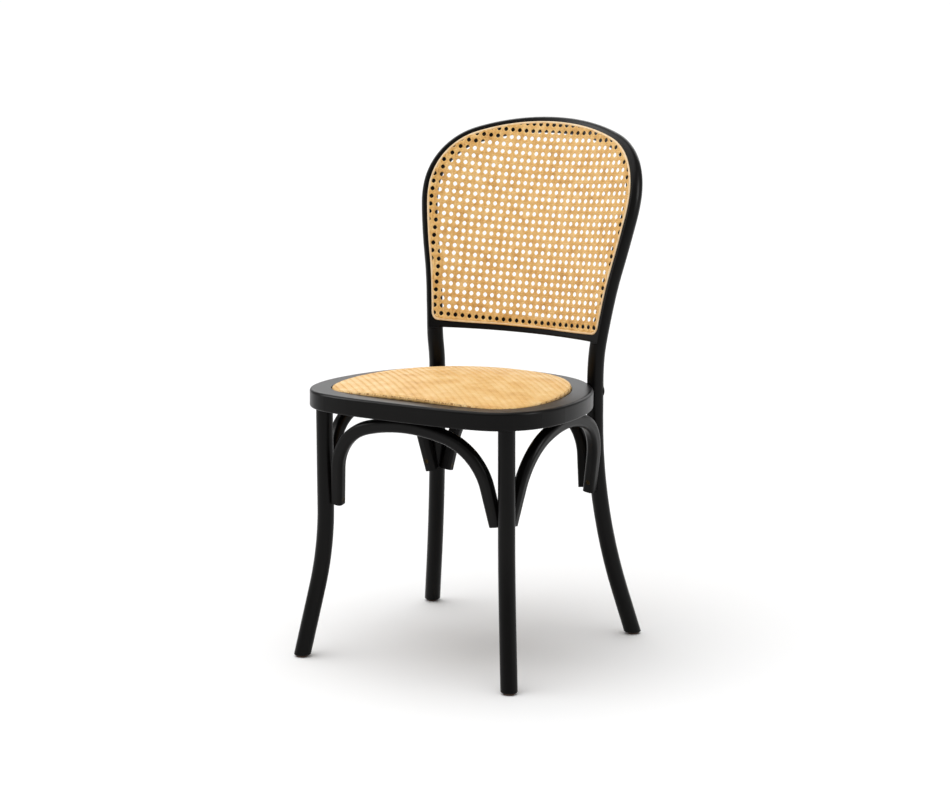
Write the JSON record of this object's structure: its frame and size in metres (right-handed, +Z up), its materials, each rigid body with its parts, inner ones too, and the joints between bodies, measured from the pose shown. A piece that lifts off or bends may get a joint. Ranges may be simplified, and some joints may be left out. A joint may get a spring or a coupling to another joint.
{
  "type": "dining chair",
  "caption": "Bentwood dining chair with a cane back held in a bent hoop, arch braces under a rounded seat ring and a drop-in woven seat pad.",
  "frame": {"origin": "on the floor under the centre of the chair's bounding box", "axes": "+Z up, the chair faces -Y, +X is to the right of someone looking at its front"},
  "size_m": [0.459, 0.5177, 0.877],
  "materials": {
    "black_wood": "satin black lacquer on bent beech",
    "cane": "natural woven cane",
    "reed": "natural reed",
    "rattan": "woven rattan",
    "plywood": "raw plywood",
    "foam": "cut foam",
    "birch": "raw dowel",
    "screw_metal": "yellow zinc plated steel",
    "bolt_metal": "plated steel",
    "cap_plastic": "moulded black plastic",
    "glide_plastic": "moulded brown plastic"
  },
  "bodies": {
    "root": {"back_hoop": "black_wood", "back_rail": "black_wood", "cane_panel": "cane", "cane_reed": "reed", "seat_ring": "black_wood", "seat_board": "plywood", "seat_foam": "foam", "seat_cover": "rattan", "front_leg_left": "black_wood", "front_leg_right": "black_wood", "arch_front": "black_wood", "arch_left": "black_wood", "arch_right": "black_wood", "arch_rear": "black_wood", "arch_leg_screws": "screw_metal", "arch_seat_screws": "screw_metal", "seat_bolts": "bolt_metal", "bolt_inserts": "bolt_metal", "bolt_caps": "cap_plastic", "rail_dowels": "birch", "board_screws": "screw_metal", "floor_glides": "glide_plastic"}
  },
  "joints": []
}
